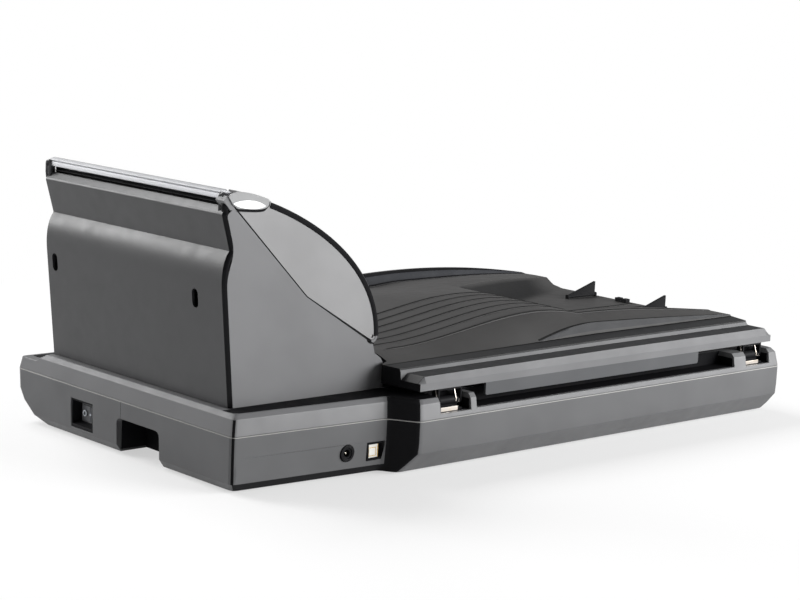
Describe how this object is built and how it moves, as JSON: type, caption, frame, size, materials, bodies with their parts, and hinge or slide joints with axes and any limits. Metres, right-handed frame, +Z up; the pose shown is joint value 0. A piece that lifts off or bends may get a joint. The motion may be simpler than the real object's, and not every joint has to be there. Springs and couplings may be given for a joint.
{
  "type": "flatbed scanner",
  "caption": "Long flatbed scanner with a hinged lid whose top is a moulded output tray, and an upright sheet feeder with a curved door at one end.",
  "frame": {"origin": "on the floor, under the middle of the machine's outline", "axes": "+X towards the feeder end, +Y towards the lid's hinges, +Z up"},
  "size_m": [0.5884, 0.322, 0.2191],
  "materials": {
    "casing": "fine texture, satin",
    "black": "satin",
    "steel": "bright",
    "silver": "silver paint",
    "rubber": "matt",
    "mat": "matt foam",
    "glass": "clear",
    "board": "lacquered",
    "contact": "gold plated"
  },
  "bodies": {
    "base": {"base_lower_shell": "casing", "base_top_frame": "casing", "platen_glass": "glass", "guide_rod": "steel", "carriage_motor": "steel", "drive_belt": "rubber", "main_board": "board", "switch_housing": "black", "dc_jack": "black", "usb_port": "contact", "foot_front_left": "rubber", "foot_front_right": "rubber", "foot_rear_left": "rubber", "foot_rear_right": "rubber", "hinge_bracket_left": "steel", "hinge_bracket_right": "steel", "hinge_pin_left": "steel", "hinge_pin_right": "steel", "control_panel": "black", "adf_end_cover": "casing", "adf_rear_panel": "casing", "adf_front_panel": "casing", "adf_paper_guide": "black", "adf_frame_rear": "steel", "adf_frame_front": "steel", "adf_scan_module": "black", "adf_motor": "steel", "adf_door_rod": "steel", "adf_belt": "rubber"},
    "rocker": {"power_rocker": "black"},
    "carriage": {"scan_carriage": "black", "carriage_lens_bar": "glass"},
    "drive_pulley": {"motor_pulley": "steel"},
    "return_pulley": {"idler_pulley": "steel"},
    "key_power": {"power_key": "casing"},
    "key_menu": {"menu_key": "casing"},
    "key_scan": {"scan_key": "casing"},
    "lid": {"lid_shell": "casing", "lid_pan": "casing", "lid_mat": "mat", "hinge_leaf_left": "steel", "hinge_leaf_right": "steel", "tray_clip": "black"},
    "stop_rear": {"paper_stop_rear": "black"},
    "stop_front": {"paper_stop_front": "black"},
    "feeder_pinion": {"adf_motor_pulley": "steel"},
    "feed_roller": {"feed_shaft": "steel", "feed_tyre": "rubber"},
    "output_roller": {"exit_roller": "rubber"},
    "door": {"adf_door_shell": "casing", "adf_door_cheek_rear": "casing", "adf_door_cheek_front": "casing", "adf_door_guide": "black", "adf_silver_trim": "silver"},
    "upper_roller": {"upper_feed_roller": "rubber"},
    "output_idler": {"exit_idler": "rubber"},
    "latch": {"release_latch": "silver"}
  },
  "joints": [
    {"name": "lid_hinge", "type": "hinge", "parent": "base", "child": "lid", "pos_m": [0.1032, 0.149, 0.0535], "axis": [-1, 0, 0], "range_deg": [0, 80]},
    {"name": "rear_stop_fold", "type": "hinge", "parent": "lid", "child": "stop_rear", "pos_m": [-0.2575, 0.039, 0.0767], "axis": [1, 0, 0], "range_deg": [0, 80]},
    {"name": "front_stop_fold", "type": "hinge", "parent": "lid", "child": "stop_front", "pos_m": [-0.2575, -0.05, 0.0767], "axis": [-1, 0, 0], "range_deg": [0, 80]},
    {"name": "carriage_slide", "type": "slide", "parent": "base", "child": "carriage", "axis": [-1, 0, 0], "range_m": [0, 0.294]},
    {"name": "drive_pulley_turn", "type": "hinge", "parent": "base", "child": "drive_pulley", "pos_m": [0.1, 0.024, 0.026], "axis": [0, 0, -1], "continuous": true},
    {"name": "return_pulley_turn", "type": "hinge", "parent": "base", "child": "return_pulley", "pos_m": [-0.272, 0.024, 0.026], "axis": [0, 0, -1], "continuous": true},
    {"name": "power_switch", "type": "hinge", "parent": "base", "child": "rocker", "pos_m": [0.28145, -0.0665, 0.0209], "axis": [0, 0, 1], "range_deg": [0, 12]},
    {"name": "power_key_press", "type": "slide", "parent": "base", "child": "key_power", "axis": [0, 0, -1], "range_m": [0, 0.0012], "stiffness_N_per_m": 250},
    {"name": "menu_key_press", "type": "slide", "parent": "base", "child": "key_menu", "axis": [0, 0, -1], "range_m": [0, 0.0012], "stiffness_N_per_m": 250},
    {"name": "scan_key_press", "type": "slide", "parent": "base", "child": "key_scan", "axis": [0, 0, -1], "range_m": [0, 0.0012], "stiffness_N_per_m": 250},
    {"name": "door_hinge", "type": "hinge", "parent": "base", "child": "door", "pos_m": [0.1472, -0.0095, 0.1008], "axis": [0, -1, 0], "range_deg": [0, 50]},
    {"name": "latch_pivot", "type": "hinge", "parent": "door", "child": "latch", "pos_m": [0.2797, 0.1049, 0.2137], "axis": [0, 1, 0], "range_deg": [0, 12], "stiffness_Nm_per_rad": 0.05},
    {"name": "upper_roller_turn", "type": "hinge", "parent": "door", "child": "upper_roller", "pos_m": [0.25109, -0.0095, 0.18837], "axis": [0, 1, 0], "continuous": true},
    {"name": "output_idler_turn", "type": "hinge", "parent": "door", "child": "output_idler", "pos_m": [0.16256, -0.0095, 0.11307], "axis": [0, 1, 0], "continuous": true},
    {"name": "feeder_pinion_turn", "type": "hinge", "parent": "base", "child": "feeder_pinion", "pos_m": [0.235, -0.1226, 0.0895], "axis": [0, -1, 0], "continuous": true},
    {"name": "feed_roller_turn", "type": "hinge", "parent": "base", "child": "feed_roller", "pos_m": [0.26661, -0.0095, 0.17292], "axis": [0, -1, 0], "continuous": true},
    {"name": "output_roller_turn", "type": "hinge", "parent": "base", "child": "output_roller", "pos_m": [0.17028, -0.0095, 0.10056], "axis": [0, -1, 0], "continuous": true}
  ],
  "couplings": [
    {"joint": "drive_pulley_turn", "follows": "carriage_slide", "rad_per_m": 153.85},
    {"joint": "return_pulley_turn", "follows": "carriage_slide", "rad_per_m": 153.85},
    {"joint": "feeder_pinion_turn", "follows": "feed_roller_turn", "ratio": 1},
    {"joint": "output_roller_turn", "follows": "feed_roller_turn", "ratio": 1}
  ]
}
